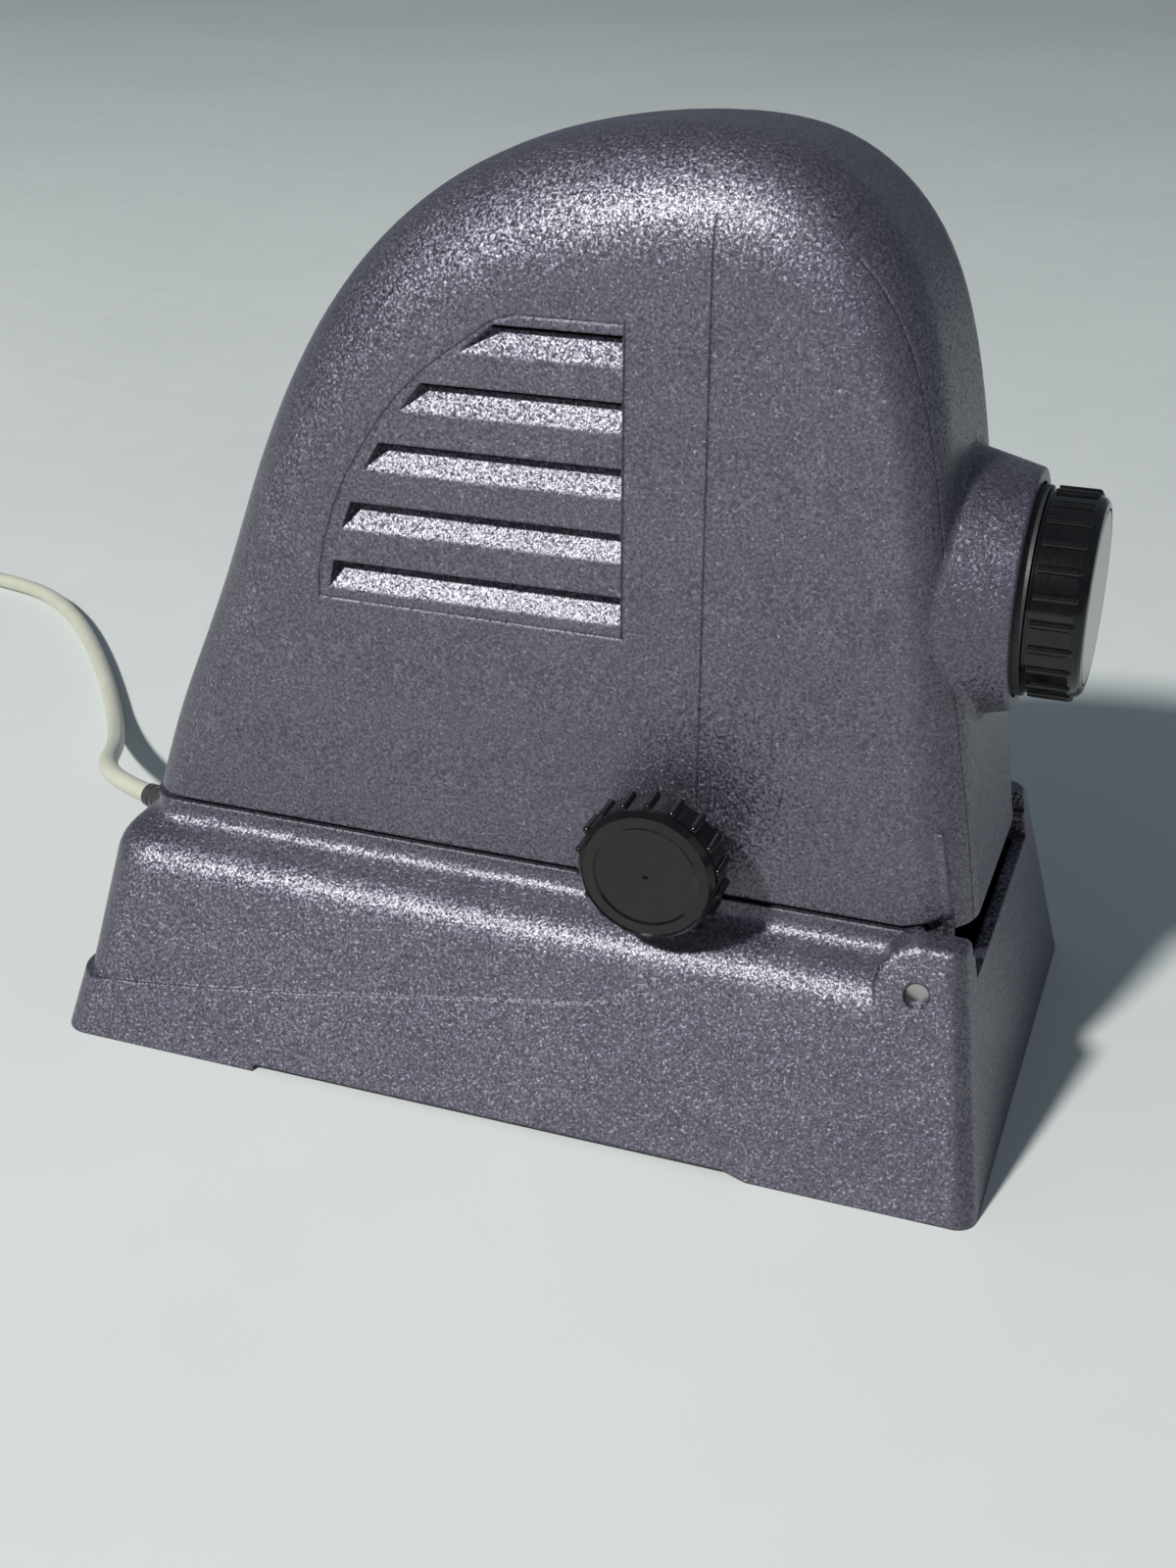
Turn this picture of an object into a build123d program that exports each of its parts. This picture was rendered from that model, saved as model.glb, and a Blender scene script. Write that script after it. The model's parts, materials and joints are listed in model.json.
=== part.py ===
from build123d import *
import math
import os

os.makedirs("parts", exist_ok=True)

# ---------------------------------------------------------------- driving dimensions, mm
# X runs forward, towards the lens, Y to the object's left, Z up from the table.
# Everything is drawn with the film gate's side of the lens near x = 0 and is moved
# by SHIFT at the end, so that the origin is under the middle of the object.
SHIFT = 90.15

LENS_Z = 125.6            # height of the optical axis
HINGE_X, HINGE_Z = 4.8, 47.1
PIN_R = 2.5
RUN_GAP = 0.05            # radial running clearance
HOOD_HW = 34.2            # hood's half width at its lower edge
HOOD_DRAFT = 0.026
HOOD_Z = 56.6             # hood's lower edge
HOOD_WALL = 2.8
RIM_HW = 34.6             # base's rim
RIM_Z = 55.4
RIM_REAR = -194.3
SHAFT_X, SHAFT_Z = -55.6, 68.8
SHAFT_R = 3.0
FILM_X = -64.7            # plane of the film
LAMP_X = -123.0
CORD_R = 2.75
CORD_Z = 30.0

# the hood's outline: angle about (FAN_X, FAN_Z), distance, slant factor, corner radius
FAN_X, FAN_Z = -80.0, 40.0
STATIONS = [
    (5.0, 95.19, 1.0027, 12.0),
    (13.0, 95.27, 1.0037, 12.0),
    (22.0, 97.87, 1.0316, 12.0),
    (32.0, 103.87, 1.0887, 13.0),
    (43.0, 115.39, 1.2108, 13.5),
    (53.0, 133.67, 1.4211, 14.0),
    (61.0, 155.43, 1.4699, 16.0),
    (68.0, 173.85, 1.2150, 19.0),
    (75.0, 182.79, 1.0115, 22.0),
    (83.0, 182.28, 1.0076, 25.0),
    (91.0, 178.40, 1.0157, 27.0),
    (100.0, 172.08, 1.0441, 27.5),
    (110.0, 160.49, 1.1165, 27.0),
    (120.0, 145.33, 1.1764, 25.0),
    (130.0, 130.48, 1.1590, 21.0),
    (140.0, 119.65, 1.0709, 17.0),
    (150.0, 114.50, 1.0085, 14.0),
    (160.0, 113.47, 1.0000, 12.0),
    (168.0, 114.17, 1.0044, 10.5),
    (175.5, 117.21, 1.0618, 9.5),
]


# ---------------------------------------------------------------- small helpers
def box(x0, x1, y0, y1, z0, z1):
    return Pos((x0 + x1) / 2, (y0 + y1) / 2, (z0 + z1) / 2) * Box(
        abs(x1 - x0), abs(y1 - y0), abs(z1 - z0)
    )


def cylx(r, x0, x1, y=0.0, z=0.0):
    return Pos((x0 + x1) / 2, y, z) * Rot(0, 90, 0) * Cylinder(r, abs(x1 - x0))


def cyly(r, y0, y1, x=0.0, z=0.0):
    return Pos(x, (y0 + y1) / 2, z) * Rot(90, 0, 0) * Cylinder(r, abs(y1 - y0))


def cylz(r, z0, z1, x=0.0, y=0.0):
    return Pos(x, y, (z0 + z1) / 2) * Cylinder(r, abs(z1 - z0))


def face_of(points):
    return Face(Wire.make_polygon([Vector(*p) for p in points], close=True))


def prism_y(pts_xz, y0, y1):
    f = face_of([(p[0], y0, p[1]) for p in pts_xz])
    return extrude(f, amount=abs(y1 - y0), dir=(0, 1, 0))


def prism_x(pts_yz, x0, x1):
    f = face_of([(x0, p[0], p[1]) for p in pts_yz])
    return extrude(f, amount=abs(x1 - x0), dir=(1, 0, 0))


def prism_z(pts_xy, z0, z1):
    f = face_of([(p[0], p[1], z0) for p in pts_xy])
    return extrude(f, amount=abs(z1 - z0), dir=(0, 0, 1))


def revolve_x(pts_xr, y=0.0, z=0.0):
    """closed outline of (x, radius) turned about the line along X through y, z"""
    f = face_of([(p[0], 0, p[1]) for p in pts_xr])
    return Pos(0, y, z) * revolve(f, axis=Axis((0, 0, 0), (1, 0, 0)))


def revolve_z(pts_rz, x=0.0, y=0.0):
    f = face_of([(p[0], 0, p[1]) for p in pts_rz])
    return Pos(x, y, 0) * revolve(f, axis=Axis((0, 0, 0), (0, 0, 1)))


def tube_x(ro, ri, x0, x1, y=0.0, z=0.0):
    return cylx(ro, x0, x1, y, z) - cylx(ri, x0 - 1, x1 + 1, y, z)


def tube_y(ro, ri, y0, y1, x=0.0, z=0.0):
    return cyly(ro, y0, y1, x, z) - cyly(ri, y0 - 1, y1 + 1, x, z)


def tube_z(ro, ri, z0, z1, x=0.0, y=0.0):
    return cylz(ro, z0, z1, x, y) - cylz(ri, z0 - 1, z1 + 1, x, y)


def capsule_x(x0, x1, r):
    """a rod along X, flat at x0 and round at x1"""
    h = math.sqrt(0.5) * r
    f = Face(Wire([
        Edge.make_line(Vector(x0, 0, 0), Vector(x0, 0, r)),
        Edge.make_line(Vector(x0, 0, r), Vector(x1, 0, r)),
        Edge.make_three_point_arc(Vector(x1, 0, r), Vector(x1 + h, 0, h), Vector(x1 + r, 0, 0)),
        Edge.make_line(Vector(x1 + r, 0, 0), Vector(x0, 0, 0)),
    ]))
    return Rot(180, 0, 0) * revolve(f, axis=Axis((0, 0, 0), (1, 0, 0)))


def both(shape):
    return shape + mirror(shape, about=Plane.XZ)


def union(items):
    out = items[0]
    for i in items[1:]:
        out = out + i
    return out


def try_fillet(shape, edges, radii, name):
    """the largest radius of the list that the edges take"""
    edges = list(edges)
    if not edges:
        print("no edges for", name)
        return shape
    for r in radii:
        try:
            out = fillet(edges, r)
            if out.is_valid if isinstance(out.is_valid, bool) else out.is_valid():
                print("fillet", name, r)
                return out
        except Exception:
            pass
    print("fillet left out:", name)
    return shape


def vol(s):
    return round(s.volume, 1)


def save(name, shape):
    s = Pos(SHIFT, 0, 0) * shape
    n = len(s.solids())
    export_step(s if isinstance(s, (Compound, Solid)) else Compound(children=s.solids()), "parts/%s.step" % name)
    print("%-28s solids %d volume %.0f" % (name, n, s.volume))


def bracket_screw(x, y, z):
    """the small screw that holds every bracket; its head sits at z"""
    return Pos(x, y, z) * pan_screw(2.2, 1.4, SCREW_R, 3.6)


def pan_screw(r_head, h_head, r_shank, length):
    """pan-head screw, head up, its seat at z = 0"""
    head = Cylinder(r_head, h_head, align=(Align.CENTER, Align.CENTER, Align.MIN))
    head = try_dome(head, h_head)
    slot = Pos(0, 0, h_head) * Box(r_head * 2.2, r_head * 0.28, h_head * 0.9)
    shank = Pos(0, 0, -length) * Cylinder(
        r_shank, length, align=(Align.CENTER, Align.CENTER, Align.MIN)
    )
    return head - slot + shank


def try_dome(head, h):
    try:
        return fillet(head.edges().sort_by(Axis.Z)[-1], h * 0.45)
    except Exception:
        return head


# ---------------------------------------------------------------- hood surface
def hood_hw(z):
    return HOOD_HW - HOOD_DRAFT * (z - 57.0)


def corner(a, b, c, r):
    """tangent points and middle of an arc of radius r at corner b of a-b-c (2-D)"""
    ux, uy = a[0] - b[0], a[1] - b[1]
    vx, vy = c[0] - b[0], c[1] - b[1]
    lu, lv = math.hypot(ux, uy), math.hypot(vx, vy)
    ux, uy, vx, vy = ux / lu, uy / lu, vx / lv, vy / lv
    half = math.acos(max(-1, min(1, ux * vx + uy * vy))) / 2
    t = r / math.tan(half)
    bx, by = ux + vx, uy + vy
    lb = math.hypot(bx, by)
    bx, by = bx / lb, by / lb
    d = r / math.sin(half)
    return (
        (b[0] + ux * t, b[1] + uy * t),
        (b[0] + bx * (d - r), b[1] + by * (d - r)),
        (b[0] + vx * t, b[1] + vy * t),
    )


def fan_section(theta, rho, r, inner, inset):
    """a section of the hood in the half plane at theta; coordinates are (y, rho)"""
    a = math.radians(theta)

    def at(y, q):
        return Vector(FAN_X + q * math.cos(a), y, FAN_Z + q * math.sin(a))

    def hw(q):
        return hood_hw(FAN_Z + q * math.sin(a)) - inset

    il, ir = (-hw(inner), inner), (hw(inner), inner)
    ol, orr = (-hw(rho), rho), (hw(rho), rho)
    t1, m1, t2 = corner(il, ol, orr, r)
    t3, m2, t4 = corner(ol, orr, ir, r)
    edges = [
        Edge.make_line(at(*il), at(*t1)),
        Edge.make_three_point_arc(at(*t1), at(*m1), at(*t2)),
        Edge.make_line(at(*t2), at(*t3)),
        Edge.make_three_point_arc(at(*t3), at(*m2), at(*t4)),
        Edge.make_line(at(*t4), at(*ir)),
        Edge.make_line(at(*ir), at(*il)),
    ]
    return Wire(edges)


def hood_solid(inset, inner):
    wires = []
    for theta, rho, k, r in STATIONS:
        wires.append(
            fan_section(theta, rho - inset * k, max(r - inset, 3.0), inner, inset)
        )
    s = Solid.make_loft(wires, ruled=False)
    return s


def station_radius(theta):
    for (t0, r0, k0, _), (t1, r1, k1, _) in zip(STATIONS, STATIONS[1:]):
        if t0 <= theta <= t1:
            f = (theta - t0) / (t1 - t0)
            return r0 + f * (r1 - r0), k0 + f * (k1 - k0)
    raise ValueError(theta)


hood_out = hood_solid(0.0, 14.0)
hood_in = hood_solid(HOOD_WALL, 13.0)
hood_skin = hood_solid(0.28, 13.5)
print("hood loft", vol(hood_out), vol(hood_in), vol(hood_skin))

above = box(-230, 60, -60, 60, HOOD_Z, 260)
hood_body = hood_out & above

# lens boss, a cone with a 14 degree draft
BOSS_X = 14.4
boss = Pos((BOSS_X - 12.0) / 2, 0, LENS_Z) * Rot(0, 90, 0) * Cone(
    26.4 + 0.25 * (BOSS_X + 12.0), 26.4, BOSS_X + 12.0
)
boss = try_fillet(boss, [boss.edges().sort_by(Axis.X)[-1]], [1.0, 0.6], "boss rim")
hood_body = hood_body + boss
root = [
    e
    for e in hood_body.edges()
    if e.geom_type != GeomType.CIRCLE
    and e.center().X > -10
    and abs(math.hypot(e.center().Y, e.center().Z - LENS_Z) - 30) < 6
    and e.length > 40
]
hood_body = try_fillet(hood_body, root, [2.0, 1.2], "boss root")
# lower front corners are cut higher, the tongue between them hangs down
relief = prism_y(
    [(-1.5, 56.0), (-1.5, 56.7), (4.5, 58.6), (8.6, 61.4), (12.0, 64.2), (20, 70), (20, 56.0)],
    30.9,
    45,
)
hood_body = hood_body - both(relief)

# inside: wall, thicker where the louvres are
LOUVRE_RIGHT = -68.4
PANEL = [
    (-68.0, 115.6), (-141.5, 116.0), (-141.3, 121.0), (-139.6, 129.0), (-136.6, 137.8),
    (-133.2, 145.2), (-129.4, 151.4), (-124.6, 158.6), (-119.9, 164.4), (-114.2, 170.0),
    (-108.0, 174.8), (-102.0, 179.2), (-96.8, 182.8), (-91.8, 184.2), (-68.0, 184.2),
]
pad_in = both(prism_y([(p[0] * 1.0, p[1]) for p in PANEL], 27.2, 40.0))
cavity = hood_in - pad_in
hood_body = hood_body - cavity
hood_body = hood_body - box(-230, 60, -60, 60, 20, HOOD_Z)

# louvres: a tall mouth outside, a sill that rises inwards
outline = [
    (LOUVRE_RIGHT, 110), (-139.3, 110), (-138.9, 118.4), (-137.4, 125.1), (-134.9, 132.8),
    (-132.3, 139.4), (-128.9, 147.1), (-124.7, 153.8), (-119.5, 161.3), (-114.0, 168.0),
    (-105.4, 175.2), (-97.0, 181.9), (-95.0, 190), (LOUVRE_RIGHT, 190),
]
cutter = None
for z0 in (118.4, 132.8, 147.1, 161.3, 175.2):
    yo = hood_hw(z0) + 0.6
    sec = [
        (yo, z0), (yo, z0 + 6.7), (20, z0 + 6.7), (20, z0 + 5.5), (28.6, z0 + 5.5),
        (hood_hw(z0) - 0.05, z0 + 0.05),
    ]
    p = prism_x(sec, -150, -60)
    cutter = p if cutter is None else cutter + p
cutter = cutter & prism_y(outline, 15, 50)
hood_body = hood_body - both(cutter)

# fine witness lines of the casting die, round the louvres, up the sides and the front
def witness(region):
    return (region & hood_out) - hood_skin


ring_o = prism_y([(p[0] + (0.25 if p[0] > -70 else -0.25), p[1] + (0.25 if p[1] > 120 else -0.25)) for p in PANEL], 24, 45)
ring_i = prism_y([(p[0] + (-0.2 if p[0] > -70 else 0.25), p[1] + (-0.25 if p[1] > 120 else 0.2)) for p in PANEL], 23, 46)
lines = both(witness((ring_o - ring_i) - box(-200, 0, -60, 60, 0, 20)))
hood_body = hood_body - lines
seam = box(-50.0, -49.55, 17, 45, 50, 207)
hood_body = hood_body - both(witness(seam))
front_line = box(-22, 30, 25.8, 26.25, 50, 200)
hood_body = hood_body - both(witness(front_line))
print("hood body", vol(hood_body), len(hood_body.solids()))

# bore for the lens sleeve and its recess
SLEEVE_RO, SLEEVE_RI = 22.6, 21.35
hood_body = hood_body - cylx(SLEEVE_RO, -30, 30, 0, LENS_Z)
hood_body = hood_body - revolve_x(
    [(BOSS_X + 1, 0), (BOSS_X + 1, 23.6), (BOSS_X, 23.6), (BOSS_X - 2.2, 23.6), (BOSS_X - 2.2, 0)],
    0,
    LENS_Z,
)

# slot for the film shaft, an arc about the hinge, in the near side only
SHAFT_D = math.hypot(SHAFT_X - HINGE_X, SHAFT_Z - HINGE_Z)
A0 = math.degrees(math.atan2(SHAFT_Z - HINGE_Z, SHAFT_X - HINGE_X))
slot_pts = []
for i in range(9):
    a = math.radians(A0 + i * 18 / 8)
    slot_pts.append((HINGE_X + (SHAFT_D + 4.3) * math.cos(a), HINGE_Z + (SHAFT_D + 4.3) * math.sin(a)))
for i in range(9):
    a = math.radians(A0 + 18 - i * 18 / 8)
    slot_pts.append((HINGE_X + (SHAFT_D - 4.3) * math.cos(a), HINGE_Z + (SHAFT_D - 4.3) * math.sin(a)))
hood_body = hood_body - prism_y(slot_pts, -50, -20) - cyly(4.3, -50, -20, SHAFT_X, SHAFT_Z)

# hinge ears inside the rim
EAR_IN, EAR_OUT = 27.2, 31.1
ear = cyly(6.0, EAR_IN, EAR_OUT, HINGE_X, HINGE_Z)
ear = ear + prism_y([(HINGE_X - 6.0, HINGE_Z), (HINGE_X - 6.0, 80), (HINGE_X + 0.5, 80), (HINGE_X + 4.0, 60), (HINGE_X + 4.4, HINGE_Z + 4)], EAR_IN, EAR_OUT)
ear = ear + prism_y([(HINGE_X - 6.0, 58.2), (HINGE_X - 6.0, 80), (HINGE_X + 0.5, 80), (HINGE_X + 3.6, 62.5), (HINGE_X + 3.6, 60.5), (HINGE_X - 1.5, 58.2)], EAR_OUT - 0.2, 32.6)
ear = ear - cyly(PIN_R + RUN_GAP, EAR_IN - 1, EAR_OUT + 1, HINGE_X, HINGE_Z)
hood_body = hood_body + both(ear)
# lugs for the heat shield
print("hood with ears", vol(hood_body), len(hood_body.solids()))
hood_casting = hood_body
save("hood_casting", hood_casting)

# ---------------------------------------------------------------- heat shield under the crown
def shield_section(theta, off, width):
    rho, k = station_radius(theta)
    a = math.radians(theta)
    r0 = rho - (off + 0.8) * k
    r1 = rho - off * k

    def at(y, q):
        return Vector(FAN_X + q * math.cos(a), y, FAN_Z + q * math.sin(a))

    return Wire.make_polygon([at(-width, r0), at(-width, r1), at(width, r1), at(width, r0)], close=True)


SHIELD_T = [75, 83, 91, 100, 110, 120, 128]
shield = Solid.make_loft([shield_section(t, 7.0, 15.0) for t in SHIELD_T], ruled=False)
posts = []
post_cut = hood_in - shield
for t, y in ((81, 11), (81, -11), (122, 11), (122, -11)):
    rho, k = station_radius(t)
    a = math.radians(t)
    p0 = (FAN_X + (rho - 9.6 * k) * math.cos(a), y, FAN_Z + (rho - 9.6 * k) * math.sin(a))
    ln = 9.6 * k
    posts.append((p0, a, ln))
rivets = None
for p0, a, ln in posts:
    pl = Plane(origin=p0, z_dir=(math.cos(a), 0, math.sin(a)))
    head = pl * Cylinder(3.2, 1.6, align=(Align.CENTER, Align.CENTER, Align.MAX))
    body = pl * Pos(0, 0, -1.0) * Cylinder(1.8, ln + 2, align=(Align.CENTER, Align.CENTER, Align.MIN))
    piece = (body & hood_in) + head
    shield = shield - pl * Cylinder(1.8, 30)
    piece = piece - shield
    rivets = piece if rivets is None else rivets + piece
save("hood_heat_shield", shield)
save("heat_shield_rivets", rivets)

# ---------------------------------------------------------------- lens
sleeve = tube_x(SLEEVE_RO, SLEEVE_RI, -30.0, BOSS_X - 2.2, 0, LENS_Z)
sleeve = sleeve + (cylx(24.4, -8.2, -6.6, 0, LENS_Z) - cylx(SLEEVE_RO - 0.2, -9, -6, 0, LENS_Z))
save("lens_sleeve", sleeve)

BARREL_R = 21.3
barrel = cylx(BARREL_R, -38.0, 12.4, 0, LENS_Z) + cylx(22.9, 12.6, 16.2, 0, LENS_Z) + cylx(BARREL_R, 12.3, 12.7, 0, LENS_Z)
barrel = barrel + cylx(20.0, 16.2, 22.5, 0, LENS_Z)
# seats for the glass, stepped from both ends
for x0, x1, r in (
    (13.0, 30.0, 16.2), (3.0, 13.1, 15.35), (-12.0, 3.1, 12.5), (-22.0, -11.9, 14.0), (-40.0, -21.9, 16.5),
):
    barrel = barrel - cylx(r, x0, x1, 0, LENS_Z)
for x in (-34.5, -31.5, -28.5):
    barrel = barrel - (cylx(BARREL_R + 1, x, x + 1.0, 0, LENS_Z) - cylx(BARREL_R - 0.6, x - 1, x + 2, 0, LENS_Z))
save("lens_barrel", barrel)


def glass(r, xl, bulge_l, xr, bulge_r):
    """a lens: rim radius r, its left and right edges at xl and xr; a bulge is how far
    each face stands out (minus: how far it dips in) at the axis"""
    big = lambda b: (r * r + b * b) / (2 * abs(b))

    def arc2(x, bulge):
        if abs(bulge) < 1e-6:
            return Edge.make_line(Vector(x, 0, 0), Vector(x, 0, r))
        rad = big(bulge)
        sag = rad - math.sqrt(rad * rad - (r / 2) ** 2)
        sgn = 1 if bulge > 0 else -1
        return Edge.make_three_point_arc(
            Vector(x + bulge, 0, 0), Vector(x + bulge - sgn * sag, 0, r / 2), Vector(x, 0, r)
        )

    el, er = arc2(xl, bulge_l), arc2(xr, bulge_r)
    top = Edge.make_line(Vector(xl, 0, r), Vector(xr, 0, r))
    ax = Edge.make_line(Vector(xl + bulge_l, 0, 0), Vector(xr + bulge_r, 0, 0))
    f = Face(Wire([el, top, er, ax]))
    return Pos(0, 0, LENS_Z) * revolve(f, axis=Axis((0, 0, 0), (1, 0, 0)))


# front meniscus, middle negative, rear positive: a simple triplet
front = glass(15.3, 5.4, 0.0, 8.4, 2.7)
middle = glass(12.4, -9.0, 1.6, -3.0, -1.4)
rear = glass(13.9, -20.9, -2.2, -15.4, 3.0)
lenses = [front, middle, rear]
save("lens_front_element", front)
save("lens_middle_element", middle)
save("lens_rear_element", rear)
rings = tube_x(15.35, 13.6, 8.5, 10.5, 0, LENS_Z) + tube_x(12.45, 11.0, -3.0, -1.0, 0, LENS_Z) + tube_x(12.45, 11.0, -12.0, -9.0, 0, LENS_Z) + tube_x(13.95, 12.2, -22.0, -20.9, 0, LENS_Z)
rings = rings - front - middle - rear
save("lens_retaining_rings", rings)

# ribbed cap, 24 half-round ribs
CAP_X0, CAP_X1 = 16.5, 28.7
cap = revolve_x(
    [(CAP_X0, 0), (CAP_X0, 22.1), (26.2, 22.1), (28.0, 21.2), (28.5, 20.6), (CAP_X1, 19.6), (CAP_X1, 0)],
    0,
    LENS_Z,
)
cap = cap - cylx(20.05, CAP_X0 - 1, 23.3, 0, LENS_Z)
cap = cap - (cylx(19.3, 28.4, 30, 0, LENS_Z) - cylx(18.7, 28.3, 31, 0, LENS_Z))
ribs = [
    Pos(0, 0, LENS_Z) * Rot(i * 15 - 18.7, 0, 0) * Pos(0, 0, 22.0) * capsule_x(17.6, 25.9, 1.0) for i in range(24)
]
cap = cap + union(ribs)
cap = cap - (cylx(30, 17.0, 17.35, 0, LENS_Z) - cylx(21.7, 16.9, 17.4, 0, LENS_Z))
save("lens_cap", cap)

# ---------------------------------------------------------------- base casting
def plan(xr, xf, hw, rr, rf, z):
    def arc(cx, cy, r, a0):
        a1 = a0 + 45
        a2 = a0 + 90
        p = [
            Vector(cx + r * math.cos(math.radians(a)), cy + r * math.sin(math.radians(a)), z)
            for a in (a0, a1, a2)
        ]
        return p

    c = [
        arc(xf - rf, -hw + rf, rf, -90),
        arc(xf - rf, hw - rf, rf, 0),
        arc(xr + rr, hw - rr, rr, 90),
        arc(xr + rr, -hw + rr, rr, 180),
    ]
    edges = []
    for i in range(4):
        edges.append(Edge.make_three_point_arc(*c[i]))
        edges.append(Edge.make_line(c[i][2], c[(i + 1) % 4][0]))
    return Wire(edges)


def frustum(inset, z0, z1, rear0, rear_slope, side0, side_slope, rr0=7.0, rr1=15.0):
    w = []
    for z in (z0, z1):
        f = z / 60.0
        w.append(
            plan(
                rear0 + rear_slope * z + inset,
                24.4 - 0.182 * z - inset,
                side0 - side_slope * z - inset * 1.06,
                max(rr0 + (rr1 - rr0) * f - inset, 2.5),
                max(5.0 - 0.6 * f - inset, 1.5),
                z,
            )
        )
    return Solid.make_loft(w, ruled=True)


def pyramid(drop):
    """the shoulder's top: it falls away outwards from the rim"""
    lo = plan(-205.1, 60, 56.7, 24, 3, 44.0 - drop)
    hi = plan(RIM_REAR, 60, RIM_HW, 8.6, 3, 50.5 - drop)
    return Solid.make_loft([lo, hi], ruled=True)


def side_y(z):
    """half width of the base at height z: wall, round shoulder, hollow, rim"""
    if z < 41.77:
        return 63.6 - 0.364 * z
    if z < 48.57:
        return 38.05 + math.sqrt(121.0 - (z - 38.01) ** 2)
    if z < 49.65:
        return RIM_HW + (50.5 - z) / 0.294
    if z < 53.49:
        return 38.6 - math.sqrt(16.0 - (z - 53.49) ** 2)
    return RIM_HW


def rear_x(z):
    if z < 43.68:
        return -209.0 + 0.182 * z
    if z < 48.43:
        return -194.16 - math.sqrt(49.0 - (z - 42.43) ** 2)
    if z < 49.63:
        return RIM_REAR - (50.5 - z) / 0.6
    if z < 52.2:
        return -197.3 + math.sqrt(9.0 - (z - 52.2) ** 2)
    return RIM_REAR


F60 = frustum(0, 0, 60, -209.0, 0.182, 63.6, 0.364)
CUT_Z = 41.0
F2 = frustum(0, 0, 60, -206.9, 5.362 / 41.0, 62.0, 13.324 / 41.0)   # meets F60 at CUT_Z
low_box = box(-260, 60, -90, 90, 0, CUT_Z)
# the sides and the back are stepped in above a slanting line
step_region = prism_y(
    [
        (-230, 13.4), (-201, 13.7), (-171, 16.8), (-140, 21.0), (-118.3, 24.4), (-92, 28.4), (-69.3, 31.7),
        (-64.5, 33.2), (-60.3, 35.6), (-54.5, 39.6), (-51.8, 42.0), (-230, 42.0),
    ],
    -90,
    90,
)
lower = ((F60 & low_box) - step_region) + (F2 & low_box)
levels = [CUT_Z, 41.9, 42.8, 43.9, 45.0, 46.1, 47.1, 48.0, 48.6, 49.2, 49.8, 50.4, 51.2, 52.2, 53.5, 54.5, RIM_Z]
sections = []
HW_CUT, RR_CUT = side_y(CUT_Z), 7.0 + 8.0 * CUT_Z / 60.0
for z in levels:
    hw = side_y(z)
    rr = 8.6 + (RR_CUT - 8.6) * (hw - RIM_HW) / (HW_CUT - RIM_HW)
    sections.append(plan(rear_x(z), 30, hw, rr, 3, z))
upper = Solid.make_loft(sections, ruled=False)
upper = upper - box(5.0, 60, -90, 90, 30, 70)
front_part = F60 & box(4.9, 60, -RIM_HW - 0.1, RIM_HW + 0.1, CUT_Z - 0.1, RIM_Z)
base = lower + upper + front_part

# hinge bosses
def boss_region(z_low):
    return (
        cyly(10.1, RIM_HW - 3.0, 70, HINGE_X, HINGE_Z)
        + box(HINGE_X, 40, RIM_HW - 3.0, 70, z_low, HINGE_Z + 10.1)
        + box(HINGE_X - 10.1, HINGE_X + 1, RIM_HW - 3.0, 70, z_low, HINGE_Z)
    )


hinge_boss = boss_region(36) & F60
top_edges = [
    e for e in hinge_boss.edges()
    if e.center().Y > 38 and e.center().Z > 41 and e.geom_type != GeomType.LINE and e.length > 6
]
hinge_boss = try_fillet(hinge_boss, top_edges, [1.8, 1.2, 0.8], "hinge boss")
base = base + both(hinge_boss)
print("base outer", vol(base), len(base.solids()))

# inside
F_in = frustum(3.0, -1, 60, -209.0, 0.182, 63.6, 0.364)
rim_in = Solid.make_loft(
    [plan(RIM_REAR + 3.0, 40, RIM_HW - 3.0, 6.0, 3, -1), plan(RIM_REAR + 3.0, 40, RIM_HW - 3.0, 6.0, 3, 60)], ruled=True
)
inner = (F_in & (box(-260, 60, -90, 90, -1, 41.0) + pyramid(3.0))) + (rim_in & F_in)
keep_boss = both(boss_region(38))
inner = inner - keep_boss
# ledges that carry the chassis, and pillars for the bottom plate
CHASSIS_Z0, CHASSIS_Z1 = 50.0, 51.5
CHASSIS_SCREWS = [(-176, 24), (-92, 26.5), (-18, 26.5)]
ledges = []
for x, y in CHASSIS_SCREWS:
    ledges.append(box(x - 6, x + 6, y - 6, 34.0, 41.0, CHASSIS_Z0))
SCREW_R = 1.2             # shank of the small bracket screws
REFL_R = 34.0             # inner radius of the mirror behind the lamp
REFL_SCREW_X = LAMP_X - REFL_R - 1.0 - 9
BOTTOM_Z0, BOTTOM_Z1 = 3.4, 4.6
PILLARS = [(-184, 40.5), (-4, 40.5)]
for x, y in PILLARS:
    ledges.append(cylz(4.6, BOTTOM_Z1, 46.0, x, y))
inner = inner - both(union(ledges))
base = base - inner
for x, y in CHASSIS_SCREWS:
    base = base - both(cylz(1.7, 42, 52, x, y))
for x, y in PILLARS:
    base = base - both(cylz(1.7, 3, 18, x, y))

# front notch for the tongue, with room for the hood's side walls behind it
base = base - box(2.5, 40, -33.9, 33.9, 46.4, 70)
base = base - box(3.5, 40, -35.4, 35.4, 52.8, 70)
# underside relief between the feet
base = base - prism_y([(-153.6, -1), (-153.6, 1.4), (-152.9, 1.6), (-33.5, 1.6), (-27.2, -0.1), (-27.2, -1)], -90, 90)
# pin bores, slightly countersunk
pin_bore = cyly(PIN_R, 25, 60, HINGE_X, HINGE_Z) + cyly(PIN_R + 0.45, 45.3, 60, HINGE_X, HINGE_Z)
base = base - both(pin_bore)
# cord hole
CORD_TILT = 18.0
base = base - cylx(5.0, -215, -190, 0.3, CORD_Z)
# two rests for the hood at the back
base = base + both(box(-193.6, -191.6, 10, 18, 50, HOOD_Z))
print("base casting", vol(base), len(base.solids()))
save("base_casting", base)

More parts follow.
